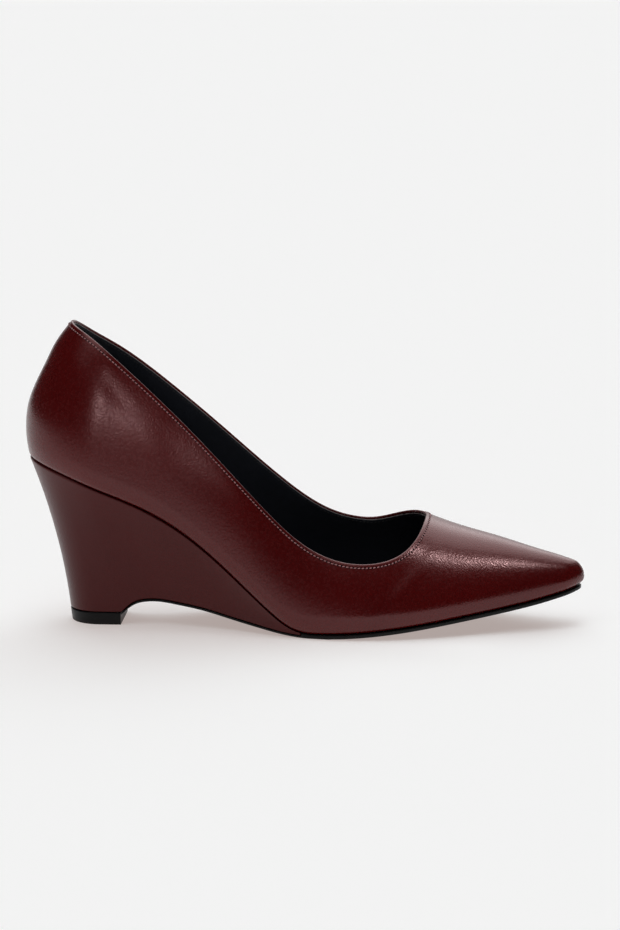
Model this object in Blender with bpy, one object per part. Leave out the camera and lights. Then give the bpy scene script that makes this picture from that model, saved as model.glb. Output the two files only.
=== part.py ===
"""Pointed wedge pump, right shoe, standing empty on its own sole.

The upper is one hollow leather wall, lasted to the shape of a foot on a high heel.
It is open at the topline and underneath, and its lasting margin is turned in.
The insole lies on that margin, the covered wedge fills the space from heel seat to ball,
the thin outsole runs from the toe to the heel breast, and the top piece is the heel's tread.

Metres, +Z up, +X towards the toe, +Y towards the inner side of the foot.
Stations are distances from the back of the heel. The origin is the centre of the heel's tread.
"""
import math
from collections import namedtuple

import bmesh
import bpy
import numpy as np
from mathutils import Vector

# Length, widths and heights of the last
LENGTH = 0.247
HEEL_WIDTH = 0.061
BALL_WIDTH = 0.082
HEEL_HEIGHT = 0.0745
TOE_SPRING = 0.0165
BACK_HEIGHT = 0.060
BACK_LEAN = 0.0208
VAMP_HEIGHT = 0.0413
LATERAL_WALL = 0.0294
MEDIAL_WALL = 0.038

# Topline: the throat's distance from the back of the heel, and how long its curve is
THROAT = 0.177
THROAT_CURVE = 0.031
THROAT_FOOT = 0.0052
THROAT_ROUND_LATERAL = 2.1
THROAT_ROUND_MEDIAL = 1.2

# Rounding of the last at the heel, the toe and the feather line
HEEL_WRAP = 0.034
TOE_WRAP = 0.008
LEAN_FADE = 0.110
TUCK = 0.0032
TUCK_HEIGHT = 0.009
TOE_SET_TOP = 0.0036
TOE_SET_FOOT = 0.0018
TOE_SET_LENGTH = 0.020
TOE_NOSE = 0.35

# Thicknesses and margins
WALL = 0.002
MARGIN = 0.004
MARGIN_TIP = 0.0006
MARGIN_FADE = 0.030
INSOLE = 0.002
OUTSOLE = 0.0018
ARCH_SOLE = 0.001
OUTSOLE_PROUD = 0.0005
PROUD_RUN = 0.030
OUTSOLE_EDGE = 0.0006
GAP = 0.0003

# Wedge and its tread
WEDGE_HOLLOW = 0.0026
TREAD_BACK = 0.0192
TREAD_LENGTH = 0.0237
TREAD_WIDTH = 0.0305
TREAD_WRAP = 0.014
TREAD_SLANT = 0.0006
TOP_PIECE = 0.0055
ARCH_HEIGHT = 0.0109

# Where the wedge ends and where the flat of the forefoot starts and ends, as shares of the length
WEDGE_END = 0.502
BALL_REST = 0.512
BALL_LEAVE = 0.552

# Widening from heel to ball: where it starts and how long it takes
WIDEN_START = 0.0618
WIDEN_RUN = 0.0865

# Steps of the surfaces
HEEL_STEPS = 9
SIDE_STEPS = 22
THROAT_STEPS = 12
THROAT_EASE = 0.8
VAMP_STEPS = 9
TOE_STEPS = 4
WALL_ROWS = 12
ROW_EASE = 1.25
TREAD_STEPS = 7
ARCH_STEPS = 20
ARCH_EASE = 1.35
WEDGE_ROWS = 6
FLAT_STEPS = 2
FORE_STEPS = 16
WELD = 1e-7

# Cross sections of the last. along is the station as a share of the length.
# rise and spring lift the feather line by shares of the heel's height and the toe spring.
# lateral and medial are half widths as shares of the local width.
# crown_back and crown_vamp are the section's full height, in back and vamp heights.
# ridge is the top's distance towards the inner side, in ball widths.
# peak_lateral and peak_medial are powers of the section's sine: 1 is an ellipse.
# wall_lateral and wall_medial raise the topline from each side wall to the back height.
Section = namedtuple("Section", "along rise spring lateral medial crown_back crown_vamp ridge "
                     "peak_lateral peak_medial wall_lateral wall_medial")
SECTIONS = [
    Section(0.000, 1.000, 0.000, 0.500, 0.500, 1.267, 0.000, 0.000, 1.00, 1.00, 1.000, 1.000),
    Section(0.061, 0.938, 0.000, 0.500, 0.500, 1.283, 0.000, 0.000, 1.00, 1.00, 0.987, 0.868),
    Section(0.142, 0.832, 0.000, 0.500, 0.500, 1.300, 0.000, 0.000, 1.00, 1.00, 0.895, 0.790),
    Section(0.243, 0.681, 0.000, 0.500, 0.484, 1.350, 0.000, 0.012, 1.00, 1.00, 0.677, 0.580),
    Section(0.344, 0.435, 0.000, 0.495, 0.444, 1.400, 0.000, 0.024, 1.00, 0.95, 0.518, 0.505),
    Section(0.445, 0.126, 0.000, 0.512, 0.423, 1.300, 0.000, 0.049, 1.00, 0.90, 0.431, 0.555),
    Section(0.486, 0.026, 0.000, 0.514, 0.430, 0.600, 0.920, 0.055, 1.00, 0.88, 0.367, 0.518),
    Section(0.538, 0.000, 0.000, 0.521, 0.445, 0.150, 1.370, 0.061, 1.02, 0.87, 0.176, 0.245),
    Section(0.607, 0.000, 0.055, 0.524, 0.476, 0.000, 1.380, 0.073, 1.08, 0.87, 0.022, 0.020),
    Section(0.688, 0.000, 0.190, 0.494, 0.488, 0.000, 1.107, 0.073, 1.20, 0.92, 0.000, 0.000),
    Section(0.769, 0.000, 0.355, 0.409, 0.427, 0.000, 0.862, 0.061, 1.20, 1.00, 0.000, 0.000),
    Section(0.850, 0.000, 0.528, 0.295, 0.323, 0.000, 0.664, 0.049, 1.20, 1.08, 0.000, 0.000),
    Section(0.931, 0.000, 0.740, 0.173, 0.207, 0.000, 0.441, 0.033, 1.15, 1.10, 0.000, 0.000),
    Section(1.000, 0.000, 1.000, 0.067, 0.110, 0.000, 0.250, 0.024, 1.10, 1.10, 0.000, 0.000),
]

# Profile of the back line: height as a share of the back's, forward as a share of its lean
Lean = namedtuple("Lean", "height forward")
LEANS = [
    Lean(0.00, 0.07),
    Lean(0.10, 0.02),
    Lean(0.21, 0.00),
    Lean(0.40, 0.067),
    Lean(0.56, 0.25),
    Lean(0.73, 0.49),
    Lean(0.82, 0.62),
    Lean(1.00, 1.00),
]

# Underside of the arch, from the heel breast to where the ball rests.
# breast is a share of the height at the breast, height a share of the arch's height.
Arch = namedtuple("Arch", "along breast height")
ARCHES = [
    Arch(0.0000, 1.00, 0.000),
    Arch(0.0375, 0.50, 0.475),
    Arch(0.0750, 0.20, 0.780),
    Arch(0.1250, 0.05, 0.945),
    Arch(0.2000, 0.00, 0.990),
    Arch(0.3000, 0.00, 0.915),
    Arch(0.4500, 0.00, 0.740),
    Arch(0.5900, 0.00, 0.485),
    Arch(0.7800, 0.00, 0.205),
    Arch(0.9250, 0.00, 0.040),
    Arch(1.0000, 0.00, 0.000),
]

# Plan of the wedge's lower edge: spread goes from the tread's width to the last's
Spread = namedtuple("Spread", "along spread")
SPREADS = [
    Spread(0.00, 0.00),
    Spread(0.36, 0.00),
    Spread(0.46, 0.00),
    Spread(0.545, 0.20),
    Spread(0.636, 0.46),
    Spread(0.752, 0.68),
    Spread(0.876, 0.90),
    Spread(1.00, 1.00),
]

LATERAL, MEDIAL = -1, 1
SIDES = (LATERAL, MEDIAL)

# A column of the upper: its foot's station, its top's station, and how far its top turns
# round the throat's curve from the side wall's height (0) to the ridge (a quarter turn)
Column = namedtuple("Column", "foot top turn")


def mix(start, end, share):
    """Value at a share of the way from start to end."""
    return start + (end - start) * share


def spline(rows, key, field):
    """Natural cubic spline of one column of a table, as a function of its key column."""
    knots = np.array([getattr(row, key) for row in rows])
    values = np.array([getattr(row, field) for row in rows])
    step = np.diff(knots)
    slope = np.diff(values) / step
    matrix = np.eye(len(knots))
    right = np.zeros(len(knots))
    for i in range(1, len(step)):
        matrix[i, i - 1:i + 2] = step[i - 1], 2 * (step[i - 1] + step[i]), step[i]
        right[i] = 6 * (slope[i] - slope[i - 1])
    bend = np.linalg.solve(matrix, right)

    def value(at):
        at = min(max(at, knots[0]), knots[-1])
        i = min(max(int(np.searchsorted(knots, at)) - 1, 0), len(step) - 1)
        far = (at - knots[i]) / step[i]
        near = 1 - far
        curve = (near**3 - near) * bend[i] + (far**3 - far) * bend[i + 1]
        return float(near * values[i] + far * values[i + 1] + curve * step[i]**2 / 6)

    return value


SHAPE = {field: spline(SECTIONS, "along", field) for field in Section._fields[1:]}
LEAN_CURVE = spline(LEANS, "height", "forward")
ARCH_BREAST = spline(ARCHES, "along", "breast")
ARCH_CURVE = spline(ARCHES, "along", "height")
SPREAD_CURVE = spline(SPREADS, "along", "spread")


# Lines of the last

def shape(field, station):
    return SHAPE[field](station / LENGTH)


def sided(field, station, side):
    return shape(field + ("_lateral" if side == LATERAL else "_medial"), station)


def half_width(station, side):
    """Widest half width of the last on one side, before its ends are rounded."""
    share = min(max((station - WIDEN_START) / WIDEN_RUN, 0), 1)
    width = mix(HEEL_WIDTH, BALL_WIDTH, share * share * (3 - 2 * share))
    return width * shape("lateral" if side == LATERAL else "medial", station)


def crown(station):
    return BACK_HEIGHT * shape("crown_back", station) + VAMP_HEIGHT * shape("crown_vamp", station)


def end_round(station):
    """Share of the width that is left where the heel and the toe round off."""
    into_heel = max(1 - station / HEEL_WRAP, 0)
    into_toe = max(1 - (LENGTH - station) / TOE_WRAP, 0)
    return math.sqrt(max(1 - into_heel**2 - into_toe**2, 0))


def bed(x):
    """Height of the feather line, which is the underside of the upper, above the floor."""
    base = OUTSOLE + GAP
    return base + (HEEL_HEIGHT - base) * shape("rise", x) + TOE_SPRING * shape("spring", x)


def bed_slope(x):
    reach = LENGTH / 500
    return (bed(x + reach) - bed(x - reach)) / (2 * reach)


def forward(station, lift, share):
    """How far a point lies in front of its station: the leaning back and the set-back toe."""
    lean = BACK_LEAN * LEAN_CURVE(lift / BACK_HEIGHT) * max(1 - station / LEAN_FADE, 0)**2
    into_toe = max(1 - (LENGTH - station) / TOE_SET_LENGTH, 0)
    if share > TOE_NOSE:
        set_back = TOE_SET_TOP * ((share - TOE_NOSE) / (1 - TOE_NOSE))**2.2
    else:
        set_back = TOE_SET_FOOT * (1 - share / TOE_NOSE)**2
    return lean - set_back * into_toe**2


def last_point(station, angle, side):
    """Point of the last's surface: angle 0 is the feather line and a quarter turn the ridge."""
    full = crown(station)
    share = math.sin(angle)**sided("peak", station, side)
    lift = full * share
    width = half_width(station, side)
    low = max(1 - lift / min(TUCK_HEIGHT, full / 2), 0)
    tuck = TUCK * low**2 / (width + 2 * TUCK)
    ridge = BALL_WIDTH * shape("ridge", station)
    reach = (width - side * ridge) * end_round(station) * math.cos(angle) * (1 - tuck)
    foot = station + forward(station, 0, 0)
    return Vector((station + forward(station, lift, share), ridge + side * reach, bed(foot) + lift))


def angle_at(station, lift, side):
    """Angle at which the section reaches a height above the feather line."""
    share = min(max(lift / crown(station), 0), 1)
    return math.asin(share**(1 / sided("peak", station, side)))


def wall_height(station, side):
    low = LATERAL_WALL if side == LATERAL else MEDIAL_WALL
    return mix(low, BACK_HEIGHT, sided("wall", station, side))


# Rows: lists of (lateral, medial) point pairs from the back to the front

def feather_row(stations):
    return [tuple(last_point(station, 0, side) for side in SIDES) for station in stations]


def meets(pair):
    return (pair[0] - pair[1]).length < WELD


def inset(row, amounts):
    """Row moved inwards in plan, each pair by its own amount."""
    moved = []
    for i, (pair, amount) in enumerate(zip(row, amounts)):
        points = []
        for hand, side in enumerate(SIDES):
            if i > 0:
                before = row[i - 1][hand]
            else:
                before = row[1][1 - hand] if meets(pair) else pair[hand]
            if i < len(row) - 1:
                after = row[i + 1][hand]
            else:
                after = row[-2][1 - hand] if meets(pair) else pair[hand]
            run = after - before
            inward = Vector((side * run.y, -side * run.x, 0)).normalized()
            points.append(pair[hand] + inward * amount)
        moved.append(tuple(points))
    return moved


def on_bed(row, lift):
    """Row laid at a square distance above the feather line's surface."""
    laid = []
    for pair in row:
        points = []
        for point in pair:
            slope = bed_slope(point.x)
            up = Vector((-slope, 0, 1)).normalized()
            points.append(Vector((point.x, point.y, bed(point.x))) + up * lift)
        laid.append(tuple(points))
    return laid


def level(row, heights):
    """Row set to heights above the floor, one for each pair."""
    return [tuple(Vector((point.x, point.y, height)) for point in pair)
            for pair, height in zip(row, heights)]


# Solids

class Skin:
    """Points and faces of one closed body. Equal points are shared."""

    def __init__(self):
        self.points = []
        self.faces = []
        self.index = {}

    def number(self, point):
        key = tuple(round(value / WELD) for value in point)
        if key not in self.index:
            self.index[key] = len(self.points)
            self.points.append(point)
        return self.index[key]

    def face(self, *points):
        corners = []
        for point in points:
            number = self.number(point)
            if number not in corners:
                corners.append(number)
        if len(corners) > 2:
            self.faces.append(corners)

    def strip(self, low, high, last=None):
        """Both sides between two rows, up to the pair with number last."""
        for i in range(len(low) - 1 if last is None else last):
            self.face(low[i][0], low[i + 1][0], high[i + 1][0], high[i][0])
            self.face(low[i + 1][1], low[i][1], high[i][1], high[i + 1][1])

    def ends(self, low, high):
        self.face(low[0][1], low[0][0], high[0][0], high[0][1])
        self.face(low[-1][0], low[-1][1], high[-1][1], high[-1][0])

    def cap(self, row, upward):
        for near, far in zip(row, row[1:]):
            if upward:
                self.face(near[0], far[0], far[1], near[1])
            else:
                self.face(near[0], near[1], far[1], far[0])

    def mesh(self, name):
        mesh = bpy.data.meshes.new(name)
        mesh.from_pydata(self.points, [], self.faces)
        mesh.validate()
        mesh.shade_smooth()
        mesh.set_sharp_from_angle(angle=math.radians(35))
        return mesh

    def normals(self):
        body = bmesh.new()
        corners = [body.verts.new(point) for point in self.points]
        for face in self.faces:
            body.faces.new([corners[number] for number in face])
        body.normal_update()
        directions = [corner.normal.copy() for corner in corners]
        body.free()
        return directions


def stacked(rows):
    """Closed body through rows from the bottom to the top."""
    skin = Skin()
    skin.cap(rows[0], upward=False)
    for low, high in zip(rows, rows[1:]):
        skin.strip(low, high)
        skin.ends(low, high)
    skin.cap(rows[-1], upward=True)
    return skin


def material(name, colour, roughness, coat=0.0):
    made = bpy.data.materials.new(name)
    made.use_nodes = True
    shader = made.node_tree.nodes["Principled BSDF"]
    shader.inputs["Base Color"].default_value = (*colour, 1.0)
    shader.inputs["Roughness"].default_value = roughness
    shader.inputs["Metallic"].default_value = 0.0
    shader.inputs["Coat Weight"].default_value = coat
    return made


def add_object(name, skin, finish):
    made = bpy.data.objects.new(name, skin.mesh(name))
    made.data.materials.append(finish)
    made.location.x = -(TREAD_BACK + TREAD_LENGTH / 2)
    bpy.context.scene.collection.objects.link(made)
    return made


# Upper

def toe_stations():
    """Stations that go evenly round the end of the toe."""
    turns = [math.pi / 2 * i / TOE_STEPS for i in range(TOE_STEPS + 1)]
    return [LENGTH - TOE_WRAP * (1 - math.sin(turn)) for turn in turns]


def upper_columns():
    """Columns from the back line to the tip of the toe, and the number of the throat's."""
    side_end = THROAT - THROAT_CURVE
    foot_end = THROAT + THROAT_FOOT
    columns = []
    for i in range(HEEL_STEPS):
        station = HEEL_WRAP * (1 - math.cos(math.pi / 2 * i / HEEL_STEPS))
        columns.append(Column(station, station, 0))
    for i in range(SIDE_STEPS):
        station = mix(HEEL_WRAP, side_end, i / SIDE_STEPS)
        columns.append(Column(station, station, 0))
    for i in range(THROAT_STEPS):
        turned = math.pi / 2 * (i / THROAT_STEPS)**THROAT_EASE
        top = side_end + THROAT_CURVE * math.sin(turned)
        foot = mix(side_end, foot_end, i / THROAT_STEPS)
        columns.append(Column(foot, top, turned))
    throat = len(columns)
    feet = [mix(foot_end, LENGTH - TOE_WRAP, i / VAMP_STEPS) for i in range(VAMP_STEPS)]
    for foot in feet + toe_stations():
        share = (foot - foot_end) / (LENGTH - foot_end)
        columns.append(Column(foot, mix(THROAT, LENGTH, share), math.pi / 2))
    return columns, throat


def top_angle(column, side):
    """Angle of the topline on a column, or the ridge's on the vamp."""
    rim = angle_at(column.top, wall_height(column.top, side), side)
    power = THROAT_ROUND_LATERAL if side == LATERAL else THROAT_ROUND_MEDIAL
    return mix(rim, math.pi / 2, (1 - math.cos(column.turn))**power)


def wall_rows(columns, start_lift):
    """Rows of the upper's surface, from a height above the feather line to the top."""
    rows = []
    for number in range(WALL_ROWS + 1):
        share = (number / WALL_ROWS)**ROW_EASE
        row = []
        for column in columns:
            pair = []
            for side in SIDES:
                start = angle_at(column.foot, start_lift, side)
                angle = mix(start, top_angle(column, side), share)
                pair.append(last_point(mix(column.foot, column.top, share), angle, side))
            row.append(tuple(pair))
        rows.append(row)
    return rows


def inner_rows(columns):
    """The upper's surface moved inwards by the wall, from the top of the lasting margin up."""
    rows = wall_rows(columns, WALL)
    skin = Skin()
    for low, high in zip(rows, rows[1:]):
        skin.strip(low, high)
    normals = skin.normals()
    return [[tuple(point - normals[skin.number(point)] * WALL for point in pair) for pair in row]
            for row in rows]


def margin_widths(stations):
    """Width of the turned-in lasting margin from the feather line, narrow at the toe."""
    fades = [min((LENGTH - station) / MARGIN_FADE, 1) for station in stations]
    return [WALL + mix(MARGIN_TIP, MARGIN, fade) for fade in fades]


def build_upper(leather):
    columns, throat = upper_columns()
    outer = wall_rows(columns, 0)
    inner = inner_rows(columns)
    corner = on_bed(inset(outer[0], [WALL] * len(columns)), WALL)
    turned_in = inset(outer[0], margin_widths([column.foot for column in columns]))
    margin = [on_bed(turned_in, WALL), on_bed(turned_in, 0)]
    rows = inner[::-1] + [corner] + margin + outer
    skin = Skin()
    for low, high in zip(rows, rows[1:]):
        skin.strip(low, high)
    skin.strip(outer[-1], inner[-1], throat)
    return add_object("upper", skin, leather)


# Insole

def build_insole(lining):
    """Sock board on the lasting margin, with its filler between the margin's edges."""
    stations = [column.foot for column in upper_columns()[0]]
    feather = feather_row(stations)
    plate = inset(feather, [WALL + GAP] * len(stations))
    filler = inset(feather, [width + GAP for width in margin_widths(stations)])
    seat = WALL + GAP
    rows = [on_bed(filler, GAP), on_bed(filler, seat), on_bed(plate, seat), on_bed(plate, seat + INSOLE)]
    return add_object("insole", stacked(rows), lining)


# Wedge, top piece and outsole

def breast():
    """Station of the face where the arch meets the tread, with its gap."""
    return TREAD_BACK + TREAD_LENGTH + GAP


def underside(x):
    """Height of the outsole's underside above the floor."""
    rest = BALL_REST * LENGTH
    if x < rest:
        along = (x - breast()) / (rest - breast())
        at_breast = (TOP_PIECE - ARCH_SOLE) * ARCH_BREAST(along)
        return max(at_breast + ARCH_HEIGHT * ARCH_CURVE(along), 0)
    if x < BALL_LEAVE * LENGTH + GAP:
        return 0.0
    return max(TOE_SPRING * shape("spring", x), 0)


def wedge_base(x):
    """Height of the wedge's underside: flat on the top piece, then along the arch."""
    if x <= breast():
        return TOP_PIECE + GAP
    return underside(x) + ARCH_SOLE + GAP


def foot_x(station):
    """Where a column of the wedge stands: the tread's back for 0, the wedge's front for its end."""
    end = WEDGE_END * LENGTH
    return mix(TREAD_BACK, end, station / end)


def wedge_station(x):
    end = WEDGE_END * LENGTH
    return end * (x - TREAD_BACK) / (end - TREAD_BACK)


def wedge_stations():
    """Stations of the wedge: even around the tread, then closer where the arch turns."""
    start = wedge_station(breast())
    stations = []
    for i in range(TREAD_STEPS):
        stations.append(start * (1 - math.cos(math.pi / 2 * i / TREAD_STEPS)))
    for i in range(ARCH_STEPS + 1):
        stations.append(mix(start, WEDGE_END * LENGTH, (i / ARCH_STEPS)**ARCH_EASE))
    return stations


def lower_edge(stations):
    """Plan of the wedge's lower edge: a rounded tread that widens to the last's outline."""
    row = []
    for station in stations:
        x = foot_x(station)
        into_back = max(1 - (x - TREAD_BACK) / TREAD_WRAP, 0)
        tread = TREAD_WIDTH / 2 * math.sqrt(max(1 - into_back**2, 0))
        spread = max(SPREAD_CURVE(x / (WEDGE_END * LENGTH)), 0)
        pair = []
        for side in SIDES:
            feather = abs(last_point(station, 0, side).y)
            pair.append(Vector((x, side * mix(tread, feather, spread), 0)))
        row.append(tuple(pair))
    return row


def build_wedge(leather):
    stations = wedge_stations()
    low = level(lower_edge(stations), [wedge_base(foot_x(station)) for station in stations])
    high = on_bed(feather_row(stations), -GAP)
    rows = []
    for number in range(WEDGE_ROWS + 1):
        share = number / WEDGE_ROWS
        row = [tuple(a.lerp(b, share) for a, b in zip(*pairs)) for pairs in zip(low, high)]
        bulge = 4 * share * (1 - share) * WEDGE_HOLLOW / HEEL_HEIGHT
        hollows = [bulge * (top[0].z - foot[0].z) for foot, top in zip(low, high)]
        rows.append(inset(row, hollows))
    return add_object("wedge", stacked(rows), leather)


def build_top_piece(rubber):
    end = wedge_station(breast() - GAP)
    stations = [end * (1 - math.cos(math.pi / 2 * i / TREAD_STEPS)) for i in range(TREAD_STEPS + 1)]
    outline = lower_edge(stations)
    tread = inset(outline, [TREAD_SLANT] * len(stations))
    count = len(stations)
    rows = [level(tread, [0.0] * count), level(outline, [TOP_PIECE] * count)]
    return add_object("top_piece", stacked(rows), rubber)


def fore_stations(step):
    """Stations of the sole under the upper: the step at the wedge, the flat, the spring, the toe."""
    rest = BALL_REST * LENGTH + GAP
    leave = BALL_LEAVE * LENGTH
    stations = [step, step + GAP]
    stations += [mix(rest, leave, i / FLAT_STEPS) for i in range(FLAT_STEPS)]
    stations += [mix(leave, LENGTH - TOE_WRAP, i / FORE_STEPS) for i in range(FORE_STEPS)]
    return stations + toe_stations()


def build_outsole(rubber):
    """Sole along the arch under the wedge, then under the upper, where it stands a little proud."""
    start = wedge_station(breast())
    arch_stations = [station for station in wedge_stations() if station > start - WELD]
    arch = lower_edge(arch_stations)
    step = WEDGE_END * LENGTH + GAP
    stations = fore_stations(step)
    proud = [OUTSOLE_PROUD * min((station - step) / PROUD_RUN, 1) for station in stations]
    outline = arch + inset(feather_row(stations), [-value for value in proud])
    places = [(pair[0].x + pair[1].x) / 2 for pair in outline]
    under = [underside(x) for x in places]
    covered = len(arch) + 1
    above = [height + ARCH_SOLE for height in under[:covered]] + [bed(x) - GAP for x in places[covered:]]
    rounded = inset(outline, [OUTSOLE_EDGE] * len(outline))
    rows = [level(rounded, under), level(outline, [height + OUTSOLE_EDGE for height in under]),
            level(outline, above)]
    return add_object("outsole", stacked(rows), rubber)


def main():
    for old in list(bpy.data.objects):
        bpy.data.objects.remove(old, do_unlink=True)
    leather = material("burgundy_leather", (0.125, 0.010, 0.013), 0.36, coat=0.35)
    cover = material("burgundy_wedge_cover", (0.115, 0.009, 0.012), 0.38, coat=0.35)
    lining = material("black_lining", (0.012, 0.011, 0.012), 0.62)
    sole = material("black_sole", (0.010, 0.010, 0.011), 0.42)
    tread = material("black_tread", (0.014, 0.014, 0.015), 0.55)
    build_upper(leather)
    build_insole(lining)
    build_wedge(cover)
    build_outsole(sole)
    build_top_piece(tread)


main()
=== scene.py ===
"""Looks of a burgundy wedge pump: leather upper, lining, sock, wedge cover, sole and tread.

Metres, +Z up, +X towards the toe, +Y towards the inner side of a right foot.
The upper, lining, wedge cover and soles are the surfaces of one last, whose sections are below.
"""
import math
import random
from collections import namedtuple

import bmesh
import bpy
import numpy as np
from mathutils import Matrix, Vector


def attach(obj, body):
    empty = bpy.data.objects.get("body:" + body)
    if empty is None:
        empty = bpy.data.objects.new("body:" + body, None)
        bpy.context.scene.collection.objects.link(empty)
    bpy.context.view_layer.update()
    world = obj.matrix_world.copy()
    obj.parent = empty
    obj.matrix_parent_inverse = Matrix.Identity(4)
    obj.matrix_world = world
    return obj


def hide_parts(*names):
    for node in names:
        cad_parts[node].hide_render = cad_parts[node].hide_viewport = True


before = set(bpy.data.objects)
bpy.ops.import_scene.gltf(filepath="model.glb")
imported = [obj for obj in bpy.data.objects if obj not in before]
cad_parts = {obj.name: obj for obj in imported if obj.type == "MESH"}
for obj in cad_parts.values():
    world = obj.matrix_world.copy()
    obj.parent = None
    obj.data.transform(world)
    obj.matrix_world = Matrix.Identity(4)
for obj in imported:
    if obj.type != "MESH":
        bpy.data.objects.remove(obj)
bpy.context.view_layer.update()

ROOT = "root"

# Camera, from the photograph's frame of 620 by 930 pixels
PHOTO_HEIGHT = 930
FOCAL_PIXELS = 4986
SENSOR = 36.0
VIEW_AZIMUTH = math.radians(4.0)
VIEW_ELEVATION = math.radians(10.4)
VIEW_DISTANCE = 2.2
CLIP_END = 60
AIM_STATION = 0.1257
AIM_HEIGHT = 0.0702

# Length, widths and heights of the last
LENGTH = 0.247
HEEL_WIDTH = 0.061
BALL_WIDTH = 0.082
HEEL_HEIGHT = 0.0745
TOE_SPRING = 0.0165
BACK_HEIGHT = 0.060
BACK_LEAN = 0.0208
VAMP_HEIGHT = 0.0413
LATERAL_WALL = 0.0294
MEDIAL_WALL = 0.038
THROAT = 0.177
THROAT_CURVE = 0.031
THROAT_FOOT = 0.0052
THROAT_ROUND_LATERAL = 2.1
THROAT_ROUND_MEDIAL = 1.2

# Rounding of the last at the heel, the toe and the feather line
HEEL_WRAP = 0.034
TOE_WRAP = 0.008
LEAN_FADE = 0.110
TUCK = 0.0032
TUCK_HEIGHT = 0.009
TOE_SET_TOP = 0.0036
TOE_SET_FOOT = 0.0018
TOE_SET_LENGTH = 0.020
TOE_NOSE = 0.35
TOE_SET_POWER = 2.2

# Leather and lining
WALL = 0.002
LEATHER = 0.00125
LINING_SPACE = 0.00006
LINING_DROP = 0.0011
CUT_EDGE = 0.00017
FEATHER_ROLL = 0.0018
MARGIN = 0.004
MARGIN_TIP = 0.0006
MARGIN_FADE = 0.030
INSOLE = 0.002
SOCK_CROWN = 0.0005
OUTSOLE = 0.0018
ARCH_SOLE = 0.001
OUTSOLE_PROUD = 0.0005
PROUD_RUN = 0.030
EDGE_ROLL = 0.0007
TOP_ROLL = 0.00042
GAP = 0.0003
SLOPE_REACH = LENGTH / 500

# Wedge and its tread
WEDGE_HOLLOW = 0.0026
COVER_ROLL = 0.0015
COVER_ROLL_LIMIT = 0.45
TREAD_BACK = 0.0192
TREAD_LENGTH = 0.0237
TREAD_WIDTH = 0.0305
TREAD_WRAP = 0.014
TREAD_SLANT = 0.0006
TREAD_ROLL = 0.0005
TOP_PIECE = 0.0055
ARCH_HEIGHT = 0.0109
WEDGE_END = 0.502
BALL_REST = 0.512
BALL_LEAVE = 0.552
WIDEN_START = 0.0618
WIDEN_RUN = 0.0865

# Stitches and the back seam
STITCH_DROP = 0.0018
STITCH_PITCH = 0.0017
STITCH_LENGTH = 0.00132
STITCH_WIDTH = 0.00052
HOLE_SIZE = (0.00062, 0.00100, 0.00022)
INNER_STITCH_WIDTH = 0.00040
STITCH_SKEW = math.radians(9)
STITCH_SEED = 7
STITCH_RISE = 0.2
SKEW_VARIES = 0.04
LENGTH_VARIES = 0.04
HOLE_RISE = 0.1
BEAD_FULLNESS = 0.6
SEAM_DEPTH = 0.00035
SEAM_WIDTH = 0.00035

# Floor and studio. The floor's colour and glow dim to a share towards the front, between two
# distances, as painted shade.
# A glow is the bright part of the sky round an azimuth and elevation. It starts and is full
# at two angles from there. Azimuth 0 is the camera's side and 90 the toe's, in degrees.
# A panel is a soft box that lies at a place and faces a target. Its grid's spread is in degrees.
FLOOR_HALF = 12.0
# The floor's glow is painted light that keeps shadows soft and paints them warm; its base colour is
# cooler to leave the lit floor neutral.
FLOOR_COLOUR = (0.605, 0.688, 0.712)
FLOOR_PAINTED_GLOW = (0.42, 0.355, 0.335)
FLOOR_ROUGHNESS = 0.9
FLOOR_PAINTED_SHADE_SHARE = 0.55
FLOOR_PAINTED_SHADE_RUN = (-1.6, -0.56)
WORLD_BASE = 0.025
Glow = namedtuple("Glow", "azimuth elevation start full radiance")
GLOWS = [
    Glow(178, 52, 36, 24, 1.72),
    Glow(172, 10, 45, 20, 0.80),
    Glow(0, 90, 17, 4, 3.20),
    Glow(-30, 64, 32, 15, 1.30),
]
Panel = namedtuple("Panel", "name place target size radiance spread")
PANELS = [
    Panel("front_left", (-0.002, -0.414, 0.1956), (0.013, -0.026, 0.099), (0.075, 0.065), 0.055, 8),
    Panel("top_right", (0.3475, -0.040, 0.386), (0.158, -0.024, 0.034), (0.07, 0.07), 0.100, 5),
]

# Materials: two base colours that vary softly, roughness and strength of the grain,
# and for leather and thread the strength and the tint of the shine
Leather = namedtuple("Leather", "dark light roughness grain shine tint")
Rubber = namedtuple("Rubber", "dark light roughness grain")
WHITE = (1, 1, 1)
WINE = (1, 0.60, 0.60)
UPPER_LEATHER = Leather((0.067, 0.0010, 0.0010), (0.079, 0.0014, 0.0014), 0.25, 0.20, 0.73, WINE)
WEDGE_LEATHER = Leather((0.047, 0.0012, 0.0012), (0.055, 0.0016, 0.0016), 0.32, 0.16, 0.46, WINE)
LINING_LEATHER = Leather((0.0110, 0.0125, 0.0185), (0.0150, 0.0170, 0.0240), 0.50, 0.45, 0.35, WHITE)
CUT_LEATHER = Leather((0.22, 0.19, 0.185), (0.28, 0.24, 0.235), 0.70, 0.10, 0.50, WHITE)
# Thread: a burgundy a little lighter than the leather, made pale pink in its base colour as a painted
# sheen.
THREAD_WITH_PAINTED_SHEEN = Leather((0.34, 0.15, 0.155), (0.44, 0.21, 0.215), 0.45, 0.10, 0.50, WHITE)
DARK_THREAD = Leather((0.012, 0.012, 0.013), (0.020, 0.020, 0.021), 0.50, 0.10, 0.50, WHITE)
# Dark beads between the stitches: painted shade in the needle holes.
PAINTED_HOLE_SHADE = Leather((0.004, 0.001, 0.001), (0.006, 0.0015, 0.0015), 0.80, 0.10, 0.10, WHITE)
SOLE_RUBBER = Rubber((0.003, 0.003, 0.0033), (0.005, 0.005, 0.0053), 0.32, 0.15)
TREAD_RUBBER = Rubber((0.004, 0.004, 0.0045), (0.006, 0.006, 0.0065), 0.40, 0.30)

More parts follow.
